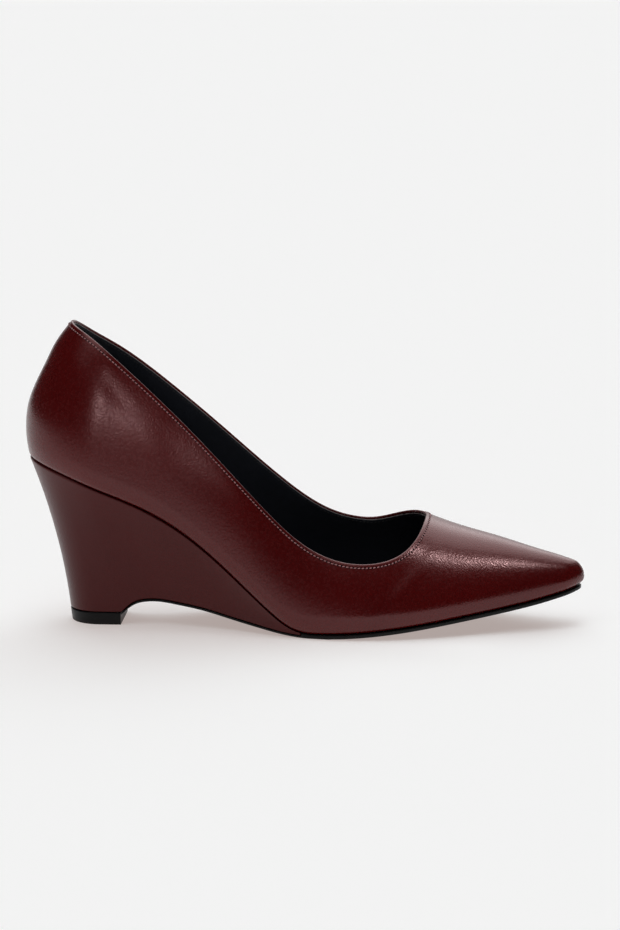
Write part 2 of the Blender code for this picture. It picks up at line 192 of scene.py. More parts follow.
# Noises of the materials: the range of their values that counts, scale per metre,
# and height of the relief in metres
NOISE_LOW = 0.3
NOISE_HIGH = 0.7
TONE_SCALE = 28
WEAR_SCALE = 700
WEAR_RANGE = (-0.03, 0.05)
PORE_SCALE = 1300
PORE_HEIGHT = 0.00022
WAVE_SCALE = 500
WAVE_HEIGHT = 0.00005
DENT_SCALE = 55
DENT_HEIGHT = 0.00040
DENT_SHARE = 0.3
RUBBER_TONE_SCALE = 120
RUBBER_WEAR_SCALE = 260
RUBBER_WEAR_RANGE = (-0.06, 0.08)
RUBBER_GRAIN_SCALE = 1400
RUBBER_GRAIN_HEIGHT = 0.00006
RUBBER_SHINE = 0.2

# Sides of the shoe, as the sign of Y
LATERAL, MEDIAL = -1, 1
SIDES = (LATERAL, MEDIAL)

# Steps of the surfaces
SEAM_TURNS = (0.0, 0.35, 0.7, 1.1, 1.6, 2.3, 3.3)
HEEL_STEPS = 26
SIDE_STEPS = 66
THROAT_STEPS = 36
THROAT_EASE = 0.8
VAMP_STEPS = 34
TOE_STEPS = 26
WALL_ROWS = 44
ROW_EASE = 1.15
INNER_STRIDE = 4
ROLL_STEPS = 6
SMALL_ROLL_STEPS = 4
SOLE_ROLL_STEPS = 5
CUT_EDGE_SIDES = 6
SOCK_STEPS = 8
WEDGE_ROUND_STEPS = 26
WEDGE_ARCH_STEPS = 74
WEDGE_ARCH_EASE = 1.3
WEDGE_SHARES = (0.02, 0.05, *[i / 20 for i in range(2, 19)], 0.95, 0.98)
TREAD_STEPS = 30
REST_STEPS = 8
FORE_STEPS = 60
BEAD_RINGS = 7
BEAD_SECTORS = 8
WELD = 1e-8
TOUCHING = 10 * WELD

# Angles above which an edge stays sharp, in degrees
SHARP = 40
SHARP_STACK = 50
SHARP_SHELL = 60

ORIGIN_STATION = TREAD_BACK + TREAD_LENGTH / 2

# Cross sections of the last. along is the station as a share of the length.
# rise and spring lift the feather line by shares of the heel's height and the toe spring.
# lateral and medial are half widths as shares of the local width.
# crown_back and crown_vamp are the section's full height, in back and vamp heights.
# ridge is the top's distance towards the inner side, in ball widths.
# peak_lateral and peak_medial are powers of the section's sine: 1 is an ellipse.
# wall_lateral and wall_medial raise the topline from each side wall to the back height.
Section = namedtuple("Section", "along rise spring lateral medial crown_back crown_vamp ridge "
                     "peak_lateral peak_medial wall_lateral wall_medial")
SECTIONS = [
    Section(0.000, 1.000, 0.000, 0.500, 0.500, 1.267, 0.000, 0.000, 1.00, 1.00, 1.000, 1.000),
    Section(0.061, 0.938, 0.000, 0.500, 0.500, 1.283, 0.000, 0.000, 1.00, 1.00, 0.987, 0.868),
    Section(0.142, 0.832, 0.000, 0.500, 0.500, 1.300, 0.000, 0.000, 1.00, 1.00, 0.895, 0.790),
    Section(0.243, 0.681, 0.000, 0.500, 0.484, 1.350, 0.000, 0.012, 1.00, 1.00, 0.677, 0.580),
    Section(0.344, 0.435, 0.000, 0.495, 0.444, 1.400, 0.000, 0.024, 1.00, 0.95, 0.518, 0.505),
    Section(0.445, 0.126, 0.000, 0.512, 0.423, 1.300, 0.000, 0.049, 1.00, 0.90, 0.431, 0.555),
    Section(0.486, 0.026, 0.000, 0.514, 0.430, 0.600, 0.920, 0.055, 1.00, 0.88, 0.367, 0.518),
    Section(0.538, 0.000, 0.000, 0.521, 0.445, 0.150, 1.370, 0.061, 1.02, 0.87, 0.176, 0.245),
    Section(0.607, 0.000, 0.055, 0.524, 0.476, 0.000, 1.380, 0.073, 1.08, 0.87, 0.022, 0.020),
    Section(0.688, 0.000, 0.190, 0.494, 0.488, 0.000, 1.107, 0.073, 1.20, 0.92, 0.000, 0.000),
    Section(0.769, 0.000, 0.355, 0.409, 0.427, 0.000, 0.862, 0.061, 1.20, 1.00, 0.000, 0.000),
    Section(0.850, 0.000, 0.528, 0.295, 0.323, 0.000, 0.664, 0.049, 1.20, 1.08, 0.000, 0.000),
    Section(0.931, 0.000, 0.740, 0.173, 0.207, 0.000, 0.441, 0.033, 1.15, 1.10, 0.000, 0.000),
    Section(1.000, 0.000, 1.000, 0.067, 0.110, 0.000, 0.250, 0.024, 1.10, 1.10, 0.000, 0.000),
]

# Profile of the back line: height as a share of the back's, forward as a share of its lean
Lean = namedtuple("Lean", "height forward")
LEANS = [
    Lean(0.00, 0.07),
    Lean(0.10, 0.02),
    Lean(0.21, 0.00),
    Lean(0.40, 0.067),
    Lean(0.56, 0.25),
    Lean(0.73, 0.49),
    Lean(0.82, 0.62),
    Lean(1.00, 1.00),
]

# Underside of the arch, from the heel breast to where the ball rests.
# breast is a share of the height at the breast, height a share of the arch's height.
Arch = namedtuple("Arch", "along breast height")
ARCHES = [
    Arch(0.0000, 1.00, 0.000),
    Arch(0.0375, 0.50, 0.475),
    Arch(0.0750, 0.20, 0.780),
    Arch(0.1250, 0.05, 0.945),
    Arch(0.2000, 0.00, 0.990),
    Arch(0.3000, 0.00, 0.915),
    Arch(0.4500, 0.00, 0.740),
    Arch(0.5900, 0.00, 0.485),
    Arch(0.7800, 0.00, 0.205),
    Arch(0.9250, 0.00, 0.040),
    Arch(1.0000, 0.00, 0.000),
]

# Plan of the wedge's lower edge: spread goes from the tread's width to the last's
Spread = namedtuple("Spread", "along spread")
SPREADS = [
    Spread(0.00, 0.00),
    Spread(0.36, 0.00),
    Spread(0.46, 0.00),
    Spread(0.545, 0.20),
    Spread(0.636, 0.46),
    Spread(0.752, 0.68),
    Spread(0.876, 0.90),
    Spread(1.00, 1.00),
]

# Soft troughs (negative depth) and ridges of the leather, in the plane of the shoe's side.
# along is a share of the length, height is above the feather line in back heights,
# slope is the fold's angle to the floor in degrees, the rest are millimetres.
Fold = namedtuple("Fold", "side along height slope length width depth")
MILLIMETRES = 1000
FOLDS = [
    Fold(LATERAL, 0.165, 0.78, -38, 16, 5.0, -0.35),
    Fold(LATERAL, 0.200, 0.66, -42, 20, 6.0, 0.25),
    Fold(LATERAL, 0.120, 0.42, 78, 26, 11.0, 0.07),
    Fold(LATERAL, 0.660, 0.30, 40, 15, 3.5, -0.16),
    Fold(LATERAL, 0.700, 0.34, 44, 16, 3.2, 0.14),
    Fold(LATERAL, 0.620, 0.26, 30, 14, 4.0, -0.06),
    Fold(MEDIAL, 0.640, 0.32, 36, 16, 4.0, -0.16),
    Fold(MEDIAL, 0.690, 0.34, 42, 15, 3.5, 0.13),
    Fold(MEDIAL, 0.170, 0.70, -40, 18, 5.5, -0.28),
    Fold(MEDIAL, 0.380, 0.46, -35, 24, 8.0, -0.25),
]

# Fine lasting pleats low at the tip of the toe, on both sides
PLEAT_COUNT = 8
PLEAT_PITCH = 0.0013125
PLEAT_FIRST = 0.9955
PLEAT_HEIGHT = 0.0026
PLEAT_SLOPE = math.radians(52)
PLEAT_LENGTH = 0.0030
PLEAT_WIDTH = 0.00030
PLEAT_DEPTH = 0.00013

Column = namedtuple("Column", "foot top turn")


def mix(start, end, share):
    return start + (end - start) * share


def spline(rows, key, field):
    """Natural cubic spline of one column of a table, as a function of its key column."""
    knots = np.array([getattr(row, key) for row in rows])
    values = np.array([getattr(row, field) for row in rows])
    step = np.diff(knots)
    slope = np.diff(values) / step
    matrix = np.eye(len(knots))
    right = np.zeros(len(knots))
    for i in range(1, len(step)):
        matrix[i, i - 1:i + 2] = step[i - 1], 2 * (step[i - 1] + step[i]), step[i]
        right[i] = 6 * (slope[i] - slope[i - 1])
    bend = np.linalg.solve(matrix, right)
    knots, values, step, bend = (list(map(float, series)) for series in (knots, values, step, bend))

    def value(at):
        at = min(max(at, knots[0]), knots[-1])
        i = 0
        while i < len(step) - 1 and at > knots[i + 1]:
            i += 1
        far = (at - knots[i]) / step[i]
        near = 1 - far
        curve = (near**3 - near) * bend[i] + (far**3 - far) * bend[i + 1]
        return near * values[i] + far * values[i + 1] + curve * step[i]**2 / 6

    return value


SHAPE = {field: spline(SECTIONS, "along", field) for field in Section._fields[1:]}
LEAN_CURVE = spline(LEANS, "height", "forward")
ARCH_BREAST = spline(ARCHES, "along", "breast")
ARCH_CURVE = spline(ARCHES, "along", "height")
SPREAD_CURVE = spline(SPREADS, "along", "spread")


# Lines of the last

def shape(field, station):
    return SHAPE[field](station / LENGTH)


def sided(field, station, side):
    return shape(field + ("_lateral" if side == LATERAL else "_medial"), station)


def half_width(station, side):
    share = min(max((station - WIDEN_START) / WIDEN_RUN, 0), 1)
    width = mix(HEEL_WIDTH, BALL_WIDTH, share * share * (3 - 2 * share))
    return width * shape("lateral" if side == LATERAL else "medial", station)


def crown(station):
    return BACK_HEIGHT * shape("crown_back", station) + VAMP_HEIGHT * shape("crown_vamp", station)


def end_round(station):
    into_heel = max(1 - station / HEEL_WRAP, 0)
    into_toe = max(1 - (LENGTH - station) / TOE_WRAP, 0)
    return math.sqrt(max(1 - into_heel**2 - into_toe**2, 0))


def bed(x):
    """Height of the feather line above the floor."""
    base = OUTSOLE + GAP
    return base + (HEEL_HEIGHT - base) * shape("rise", x) + TOE_SPRING * shape("spring", x)


def bed_slope(x):
    return (bed(x + SLOPE_REACH) - bed(x - SLOPE_REACH)) / (2 * SLOPE_REACH)


def forward(station, lift, share):
    lean = BACK_LEAN * LEAN_CURVE(lift / BACK_HEIGHT) * max(1 - station / LEAN_FADE, 0)**2
    into_toe = max(1 - (LENGTH - station) / TOE_SET_LENGTH, 0)
    if share > TOE_NOSE:
        set_back = TOE_SET_TOP * ((share - TOE_NOSE) / (1 - TOE_NOSE))**TOE_SET_POWER
    else:
        set_back = TOE_SET_FOOT * (1 - share / TOE_NOSE)**2
    return lean - set_back * into_toe**2


def last_point(station, angle, side):
    """Point of the last's surface: angle 0 is the feather line and a quarter turn the ridge."""
    full = crown(station)
    share = math.sin(angle)**sided("peak", station, side)
    lift = full * share
    width = half_width(station, side)
    low = max(1 - lift / min(TUCK_HEIGHT, full / 2), 0)
    tuck = TUCK * low**2 / (width + 2 * TUCK)
    ridge = BALL_WIDTH * shape("ridge", station)
    reach = (width - side * ridge) * end_round(station) * math.cos(angle) * (1 - tuck)
    foot = station + forward(station, 0, 0)
    return Vector((station + forward(station, lift, share), ridge + side * reach, bed(foot) + lift))


def angle_at(station, lift, side):
    share = min(max(lift / crown(station), 0), 1)
    return math.asin(share**(1 / sided("peak", station, side)))


def wall_height(station, side):
    low = LATERAL_WALL if side == LATERAL else MEDIAL_WALL
    return mix(low, BACK_HEIGHT, sided("wall", station, side))


# Rows: lists of (lateral, medial) point pairs from the back to the front

def feather_row(stations):
    return [tuple(last_point(station, 0, side) for side in SIDES) for station in stations]


def meets(pair):
    return (pair[0] - pair[1]).length < TOUCHING


def inset(row, amounts):
    """Row moved inwards in plan, each pair by its own amount."""
    moved = []
    for i, (pair, amount) in enumerate(zip(row, amounts)):
        points = []
        for hand, side in enumerate(SIDES):
            if i > 0:
                before = row[i - 1][hand]
            else:
                before = row[1][1 - hand] if meets(pair) else pair[hand]
            if i < len(row) - 1:
                after = row[i + 1][hand]
            else:
                after = row[-2][1 - hand] if meets(pair) else pair[hand]
            run = after - before
            inward = Vector((side * run.y, -side * run.x, 0)).normalized()
            points.append(pair[hand] + inward * amount)
        moved.append(tuple(points))
    return moved


def on_bed(row, lift):
    """Row laid at a square distance above the feather line's surface."""
    laid = []
    for pair in row:
        points = []
        for point in pair:
            up = Vector((-bed_slope(point.x), 0, 1)).normalized()
            points.append(Vector((point.x, point.y, bed(point.x))) + up * lift)
        laid.append(tuple(points))
    return laid


def level(row, heights):
    return [tuple(Vector((point.x, point.y, height)) for point in pair)
            for pair, height in zip(row, heights)]


def turned(start, corner, end, steps=ROLL_STEPS):
    """Rows of a soft corner between two rows, without those rows themselves."""
    rows = []
    for number in range(1, steps):
        share = number / steps
        row = []
        for triple in zip(start, corner, end):
            row.append(tuple(a.lerp(b, share).lerp(b.lerp(c, share), share)
                             for a, b, c in zip(*triple)))
        rows.append(row)
    return rows


def between(low, high, share):
    return [tuple(a.lerp(b, share) for a, b in zip(*pairs)) for pairs in zip(low, high)]


# Bodies

class Skin:
    """Points and faces of one closed body. Equal points are shared."""

    def __init__(self):
        self.points = []
        self.faces = []
        self.index = {}

    def number(self, point):
        key = tuple(round(value / WELD) for value in point)
        if key not in self.index:
            self.index[key] = len(self.points)
            self.points.append(point)
        return self.index[key]

    def face(self, *points):
        corners = []
        for point in points:
            number = self.number(point)
            if number not in corners:
                corners.append(number)
        if len(corners) > 2:
            self.faces.append(corners)

    def strip(self, low, high):
        """Both sides between two rows."""
        for i in range(len(low) - 1):
            self.face(low[i][0], low[i + 1][0], high[i + 1][0], high[i][0])
            self.face(low[i + 1][1], low[i][1], high[i][1], high[i + 1][1])

    def ends(self, low, high):
        self.face(low[0][1], low[0][0], high[0][0], high[0][1])
        self.face(low[-1][0], low[-1][1], high[-1][1], high[-1][0])

    def cap(self, row, upward):
        for near, far in zip(row, row[1:]):
            if upward:
                self.face(near[0], far[0], far[1], near[1])
            else:
                self.face(near[0], near[1], far[1], far[0])

    def normals(self):
        body = bmesh.new()
        corners = [body.verts.new(point) for point in self.points]
        for face in self.faces:
            body.faces.new([corners[number] for number in face])
        body.normal_update()
        directions = [corner.normal.copy() for corner in corners]
        body.free()
        return directions


def stacked(rows):
    """Closed body through rows from the bottom to the top."""
    skin = Skin()
    skin.cap(rows[0], upward=False)
    for low, high in zip(rows, rows[1:]):
        skin.strip(low, high)
        skin.ends(low, high)
    skin.cap(rows[-1], upward=True)
    return skin


def add_piece(name, points, faces, finish, sharp=SHARP):
    """Piece from points given by station, moved to the frame's origin, riding on the one body."""
    mesh = bpy.data.meshes.new(name)
    shift = Vector((ORIGIN_STATION, 0, 0))
    mesh.from_pydata([point - shift for point in points], [], faces)
    mesh.validate()
    mesh.shade_smooth()
    mesh.set_sharp_from_angle(angle=math.radians(sharp))
    piece = bpy.data.objects.new(name, mesh)
    bpy.context.scene.collection.objects.link(piece)
    mesh.materials.append(finish)
    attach(piece, ROOT)
    return piece


# Surface of the upper at fine steps

def toe_stations():
    turns = [math.pi / 2 * i / TOE_STEPS for i in range(TOE_STEPS + 1)]
    return [LENGTH - TOE_WRAP * (1 - math.sin(turn)) for turn in turns]


def heel_stations():
    """Stations round the heel, closer together at the back seam."""
    turns = [math.radians(turn) for turn in SEAM_TURNS]
    turns += [mix(turns[-1], math.pi / 2, i / HEEL_STEPS) for i in range(1, HEEL_STEPS)]
    return [HEEL_WRAP * (1 - math.cos(turn)) for turn in turns]


def upper_columns(drop=0.0):
    """Columns from the back line to the toe, and the number of the throat's, for a lowered rim."""
    throat_at = THROAT + drop
    side_end = throat_at - THROAT_CURVE
    foot_end = throat_at + THROAT_FOOT
    columns = [Column(station, station, 0) for station in heel_stations()]
    for i in range(SIDE_STEPS):
        station = mix(HEEL_WRAP, side_end, i / SIDE_STEPS)
        columns.append(Column(station, station, 0))
    for i in range(THROAT_STEPS):
        turn = math.pi / 2 * (i / THROAT_STEPS)**THROAT_EASE
        foot = mix(side_end, foot_end, i / THROAT_STEPS)
        columns.append(Column(foot, side_end + THROAT_CURVE * math.sin(turn), turn))
    throat = len(columns)
    feet = [mix(foot_end, LENGTH - TOE_WRAP, i / VAMP_STEPS) for i in range(VAMP_STEPS)]
    for foot in feet + toe_stations():
        share = (foot - foot_end) / (LENGTH - foot_end)
        columns.append(Column(foot, mix(throat_at, LENGTH, share), math.pi / 2))
    return columns, throat


def top_angle(column, side, drop):
    rim = angle_at(column.top, wall_height(column.top, side) - drop, side)
    power = THROAT_ROUND_LATERAL if side == LATERAL else THROAT_ROUND_MEDIAL
    return mix(rim, math.pi / 2, (1 - math.cos(column.turn))**power)


def wall_rows(columns, start_lift, drop=0.0):
    rows = []
    for number in range(WALL_ROWS + 1):
        share = (number / WALL_ROWS)**ROW_EASE
        row = []
        for column in columns:
            pair = []
            for side in SIDES:
                start = angle_at(column.foot, start_lift, side)
                angle = mix(start, top_angle(column, side, drop), share)
                pair.append(last_point(mix(column.foot, column.top, share), angle, side))
            row.append(tuple(pair))
        rows.append(row)
    return rows


def row_normals(rows):
    """Outward direction at each point of a set of rows."""
    skin = Skin()
    for low, high in zip(rows, rows[1:]):
        skin.strip(low, high)
    normals = skin.normals()
    return [[tuple(normals[skin.number(point)] for point in pair) for pair in row] for row in rows]


def moved_out(rows, normals, distance):
    return [[tuple(p + n * distance for p, n in zip(*pairs)) for pairs in zip(*lines)]
            for lines in zip(rows, normals)]


def fold_height(point, side):
    """Height of the leather's folds, pleats and back seam at a point of the upper."""
    total = -SEAM_DEPTH * math.exp(-(point.y / SEAM_WIDTH)**2) if point.x < HEEL_WRAP else 0.0
    above = point.z - bed(point.x)
    for fold in FOLDS:
        if fold.side != side:
            continue
        slope = math.radians(fold.slope)
        dx = (point.x - fold.along * LENGTH) * MILLIMETRES
        dz = (above - fold.height * BACK_HEIGHT) * MILLIMETRES
        run = dx * math.cos(slope) + dz * math.sin(slope)
        across = dz * math.cos(slope) - dx * math.sin(slope)
        fade = math.exp(-(run / fold.length)**2 - (across / fold.width)**2)
        total += fold.depth / MILLIMETRES * fade
    if point.x > LENGTH - TOE_SET_LENGTH:
        for i in range(PLEAT_COUNT):
            dx = point.x - (PLEAT_FIRST * LENGTH - i * PLEAT_PITCH)
            dz = above - PLEAT_HEIGHT
            run = dx * math.cos(PLEAT_SLOPE) + dz * math.sin(PLEAT_SLOPE)
            across = dz * math.cos(PLEAT_SLOPE) - dx * math.sin(PLEAT_SLOPE)
            fade = math.exp(-(run / PLEAT_LENGTH)**2 - (across / PLEAT_WIDTH)**2)
            total -= PLEAT_DEPTH * fade
    return total


def rim_frames(rows, normals, throat):
    """For each pair of rim points the directions into the opening, in the surface."""
    top = rows[-1][:throat + 1]
    facing = normals[-1][:throat + 1]
    loop = [pair[0] for pair in top] + [pair[1] for pair in top[-2:0:-1]]
    out = [pair[0] for pair in facing] + [pair[1] for pair in facing[-2:0:-1]]
    ups = []
    for i, direction in enumerate(out):
        run = loop[(i + 1) % len(loop)] - loop[i - 1]
        ups.append(direction.cross(run).normalized())
    count = len(loop)
    pairs = [(ups[0], ups[0])]
    pairs += [(ups[i], ups[count - i]) for i in range(1, throat)]
    pairs.append((ups[throat], ups[throat]))
    return pairs


def rim_roll(top, facing, ups, thickness):
    """Rows over a rounded rim, from the outer face to the inner one, both left out."""
    rows = []
    for number in range(1, ROLL_STEPS):
        turn = math.pi * number / ROLL_STEPS
        row = []
        for points, outs, rises in zip(top, facing, ups):
            centre = [point - out * thickness / 2 for point, out in zip(points, outs)]
            row.append(tuple(c + (out * math.cos(turn) + up * math.sin(turn)) * thickness / 2
                             for c, out, up in zip(centre, outs, rises)))
        rows.append(row)
    return rows


def shell(rows, normals, throat, outer_depth, inner_depth, foot_rows):
    """Closed sheet between two depths under a surface, with a rounded rim."""
    outer = moved_out(rows, normals, -outer_depth)
    inner = moved_out(rows, normals, -inner_depth)
    thinned = inner[::-INNER_STRIDE]
    if len(inner) % INNER_STRIDE != 1:
        thinned.append(inner[0])
    chain = thinned + foot_rows + outer
    skin = Skin()
    for low, high in zip(chain, chain[1:]):
        skin.strip(low, high)
    ups = rim_frames(rows, normals, throat)
    facing = normals[-1][:throat + 1]
    roll = rim_roll(outer[-1][:throat + 1], facing, ups, inner_depth - outer_depth)
    over = [outer[-1][:throat + 1]] + roll + [inner[-1][:throat + 1]]
    for low, high in zip(over, over[1:]):
        skin.strip(low, high)
    return skin


def margin_widths(stations):
    fades = [min((LENGTH - station) / MARGIN_FADE, 1) for station in stations]
    return [WALL + mix(MARGIN_TIP, MARGIN, fade) for fade in fades]


def build_upper(finish):
    drop = LEATHER / 2
    columns, throat = upper_columns(drop)
    rows = wall_rows(columns, FEATHER_ROLL, drop)
    normals = row_normals(rows)
    folded = []
    for row, facing in zip(rows, normals):
        line = []
        for pair, outs in zip(row, facing):
            line.append(tuple(point + out * fold_height(point, side)
                              for point, out, side in zip(pair, outs, SIDES)))
        folded.append(line)
    feather = feather_row([column.foot for column in columns])
    count = len(columns)
    tucked = on_bed(inset(feather, [FEATHER_ROLL] * count), 0)
    roll = turned(tucked, feather, folded[0])
    turned_in = inset(feather, margin_widths([column.foot for column in columns]))
    corner = on_bed(inset(feather, [LEATHER + GAP] * count), LEATHER)
    foot_rows = [corner, on_bed(turned_in, LEATHER), on_bed(turned_in, 0), tucked] + roll
    skin = shell(folded, normals, throat, 0.0, LEATHER, foot_rows)
    piece = add_piece("upper_leather", skin.points, skin.faces, finish, sharp=SHARP_SHELL)
    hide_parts("upper")


def build_lining(finish, cut):
    columns, throat = upper_columns(LINING_DROP)
    rows = wall_rows(columns, LEATHER + 2 * GAP, LINING_DROP)
    normals = row_normals(rows)
    skin = shell(rows, normals, throat, LEATHER + LINING_SPACE, WALL, [])
    add_piece("lining", skin.points, skin.faces, finish, sharp=SHARP_SHELL)
    top = rows[-1][:throat + 1]
    facing = normals[-1][:throat + 1]
    ups = rim_frames(rows, normals, throat)
    tube = Skin()
    depth = (LEATHER + LINING_SPACE + WALL) / 2
    rise = (WALL - LEATHER - LINING_SPACE) / 2
    rings = []
    for number in range(CUT_EDGE_SIDES):
        turn = 2 * math.pi * number / CUT_EDGE_SIDES
        ring = []
        for points, outs, rises in zip(top, facing, ups):
            ring.append(tuple(point - out * depth + up * rise
                              + (out * math.cos(turn) + up * math.sin(turn)) * CUT_EDGE
                              for point, out, up in zip(points, outs, rises)))
        rings.append(ring)
    for low, high in zip(rings, rings[1:] + rings[:1]):
        tube.strip(low, high)
    add_piece("lining_cut_edge", tube.points, tube.faces, cut)


def build_sock(finish):
    """Sock on the insole board, with its edge turned down and its middle a little proud."""
    stations = [column.foot for column in upper_columns()[0]]
    feather = feather_row(stations)
    count = len(stations)
    seat = WALL + GAP
    top = seat + INSOLE
    plate = inset(feather, [seat] * count)
    lowest = on_bed(plate, seat)
    wall = on_bed(plate, top - EDGE_ROLL)
    edge = on_bed(inset(feather, [seat + EDGE_ROLL] * count), top)
    roll = turned(wall, on_bed(plate, top), edge)
    rows = [lowest, wall] + roll + [edge]
    middle = [tuple((pair[0] + pair[1]) / 2 for _ in SIDES) for pair in edge]
    for number in range(1, SOCK_STEPS + 1):
        share = number / SOCK_STEPS
        row = between(edge, middle, share)
        rise = SOCK_CROWN * (1 - (1 - share)**2)
        rows.append([tuple(point + Vector((0, 0, rise)) for point in pair) for pair in row])
    skin = Skin()
    skin.cap(rows[0], upward=False)
    for low, high in zip(rows, rows[1:]):
        skin.strip(low, high)
    piece = add_piece("sock", skin.points, skin.faces, finish, sharp=SHARP_STACK)
    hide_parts("insole")


# Wedge, tread and sole

def breast():
    return TREAD_BACK + TREAD_LENGTH + GAP


def underside(x):
    rest = BALL_REST * LENGTH
    if x < rest:
        along = (x - breast()) / (rest - breast())
        at_breast = (TOP_PIECE - ARCH_SOLE) * ARCH_BREAST(along)
        return max(at_breast + ARCH_HEIGHT * ARCH_CURVE(along), 0)
    if x < BALL_LEAVE * LENGTH + GAP:
        return 0.0
    return max(TOE_SPRING * shape("spring", x), 0)


def wedge_base(x):
    if x <= breast():
        return TOP_PIECE + GAP
    return underside(x) + ARCH_SOLE + GAP


def foot_x(station):
    end = WEDGE_END * LENGTH
    return mix(TREAD_BACK, end, station / end)


def wedge_station(x):
    end = WEDGE_END * LENGTH
    return end * (x - TREAD_BACK) / (end - TREAD_BACK)


def wedge_stations():
    start = wedge_station(breast())
    turns = [math.pi / 2 * i / WEDGE_ROUND_STEPS for i in range(WEDGE_ROUND_STEPS)]
    shares = [(i / WEDGE_ARCH_STEPS)**WEDGE_ARCH_EASE for i in range(WEDGE_ARCH_STEPS + 1)]
    stations = [start * (1 - math.cos(turn)) for turn in turns]
    return stations + [mix(start, WEDGE_END * LENGTH, share) for share in shares]


def lower_edge(stations):
    row = []
    for station in stations:
        x = foot_x(station)
        into_back = max(1 - (x - TREAD_BACK) / TREAD_WRAP, 0)
        tread = TREAD_WIDTH / 2 * math.sqrt(max(1 - into_back**2, 0))
        spread = max(SPREAD_CURVE(x / (WEDGE_END * LENGTH)), 0)
        pair = []
        for side in SIDES:
            feather = abs(last_point(station, 0, side).y)
            pair.append(Vector((x, side * mix(tread, feather, spread), 0)))
        row.append(tuple(pair))
    return row


def build_wedge(finish):
    stations = wedge_stations()
    outline = lower_edge(stations)
    low = level(outline, [wedge_base(foot_x(station)) for station in stations])
    high = on_bed(feather_row(stations), -GAP)
    heights = [min(top[0].z - foot[0].z, HEEL_HEIGHT) for foot, top in zip(low, high)]
    rolls = [min(COVER_ROLL, height * COVER_ROLL_LIMIT) for height in heights]

    def at(share):
        bulge = 4 * share * (1 - share) * WEDGE_HOLLOW / HEEL_HEIGHT
        return inset(between(low, high, share), [bulge * height for height in heights])

    def near(row, other, amounts):
        return [tuple(a + (b - a).normalized() * amount for a, b in zip(*pairs))
                for *pairs, amount in zip(row, other, amounts)]

    walls = [at(share) for share in WEDGE_SHARES]
    foot_wall = near(low, walls[0], [amount / 2 for amount in rolls])
    top_wall = near(high, walls[-1], rolls)
    foot_flat = inset(low, [amount / 2 for amount in rolls])
    top_flat = inset(high, rolls)
    rows = [foot_flat] + turned(foot_flat, low, foot_wall, SMALL_ROLL_STEPS) + [foot_wall]
    rows += walls + [top_wall]
    rows += turned(top_wall, high, top_flat) + [top_flat]
    skin = stacked(rows)
    piece = add_piece("wedge_cover", skin.points, skin.faces, finish, sharp=SHARP_STACK)
    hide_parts("wedge")


def build_tread(finish):
    end = wedge_station(breast() - GAP)
    turns = [math.pi / 2 * i / TREAD_STEPS for i in range(TREAD_STEPS + 1)]
    stations = [end * (1 - math.cos(turn)) for turn in turns]
    outline = lower_edge(stations)
    count = len(stations)
    foot = inset(outline, [TREAD_SLANT] * count)
    base = level(foot, [0.0] * count)
    wall_low = level(foot, [TREAD_ROLL] * count)
    wall_high = level(outline, [TOP_PIECE - TREAD_ROLL] * count)
    top = level(outline, [TOP_PIECE] * count)
    base_flat = inset(base, [TREAD_ROLL] * count)
    top_flat = inset(top, [TREAD_ROLL] * count)
    rows = [base_flat] + turned(base_flat, base, wall_low, SMALL_ROLL_STEPS) + [wall_low, wall_high]
    rows += turned(wall_high, top, top_flat, SMALL_ROLL_STEPS) + [top_flat]
    skin = stacked(rows)
    piece = add_piece("heel_tread", skin.points, skin.faces, finish, sharp=SHARP_STACK)
    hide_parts("top_piece")


def fore_stations(step):
    rest = BALL_REST * LENGTH + GAP
    leave = BALL_LEAVE * LENGTH
    stations = [step, step + GAP]
    stations += [mix(rest, leave, i / REST_STEPS) for i in range(REST_STEPS)]
    stations += [mix(leave, LENGTH - TOE_WRAP, i / FORE_STEPS) for i in range(FORE_STEPS)]
    return stations + toe_stations()


def build_outsole(finish):
    start = wedge_station(breast())
    arch = lower_edge([station for station in wedge_stations() if station > start - WELD])
    step = WEDGE_END * LENGTH + GAP
    stations = fore_stations(step)
    proud = [OUTSOLE_PROUD * min((station - step) / PROUD_RUN, 1) for station in stations]
    outline = arch + inset(feather_row(stations), [-value for value in proud])
    count = len(outline)
    places = [(pair[0].x + pair[1].x) / 2 for pair in outline]
    under = [underside(x) for x in places]
    covered = len(arch) + 1
    above = [height + ARCH_SOLE for height in under[:covered]]
    above += [bed(x) - GAP for x in places[covered:]]
    flat = level(inset(outline, [EDGE_ROLL] * count), under)
    corner = level(outline, under)
    wall_low = level(outline, [height + EDGE_ROLL for height in under])
    wall_high = level(outline, [height - TOP_ROLL for height in above])
    top = level(outline, above)
    top_flat = level(inset(outline, [TOP_ROLL] * count), above)
    rows = [flat] + turned(flat, corner, wall_low, SOLE_ROLL_STEPS) + [wall_low, wall_high]
    rows += turned(wall_high, top, top_flat, SMALL_ROLL_STEPS) + [top_flat]
    skin = stacked(rows)
    piece = add_piece("sole", skin.points, skin.faces, finish, sharp=SHARP_STACK)
    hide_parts("outsole")


# Stitches below the rim

def stitch_path(depth):
    """Points and facing directions along the stitch line, on the leather or inside on the lining."""
    columns, throat = upper_columns(STITCH_DROP)
    rows = wall_rows(columns, FEATHER_ROLL, STITCH_DROP)
    normals = row_normals(rows)
    top = moved_out(rows, normals, -depth)[-1][:throat + 1]
    facing = normals[-1][:throat + 1]
    line = [pair[0] for pair in top] + [pair[1] for pair in top[-2::-1]]
    out = [pair[0] for pair in facing] + [pair[1] for pair in facing[-2::-1]]
    return line, out if depth == 0 else [-direction for direction in out]


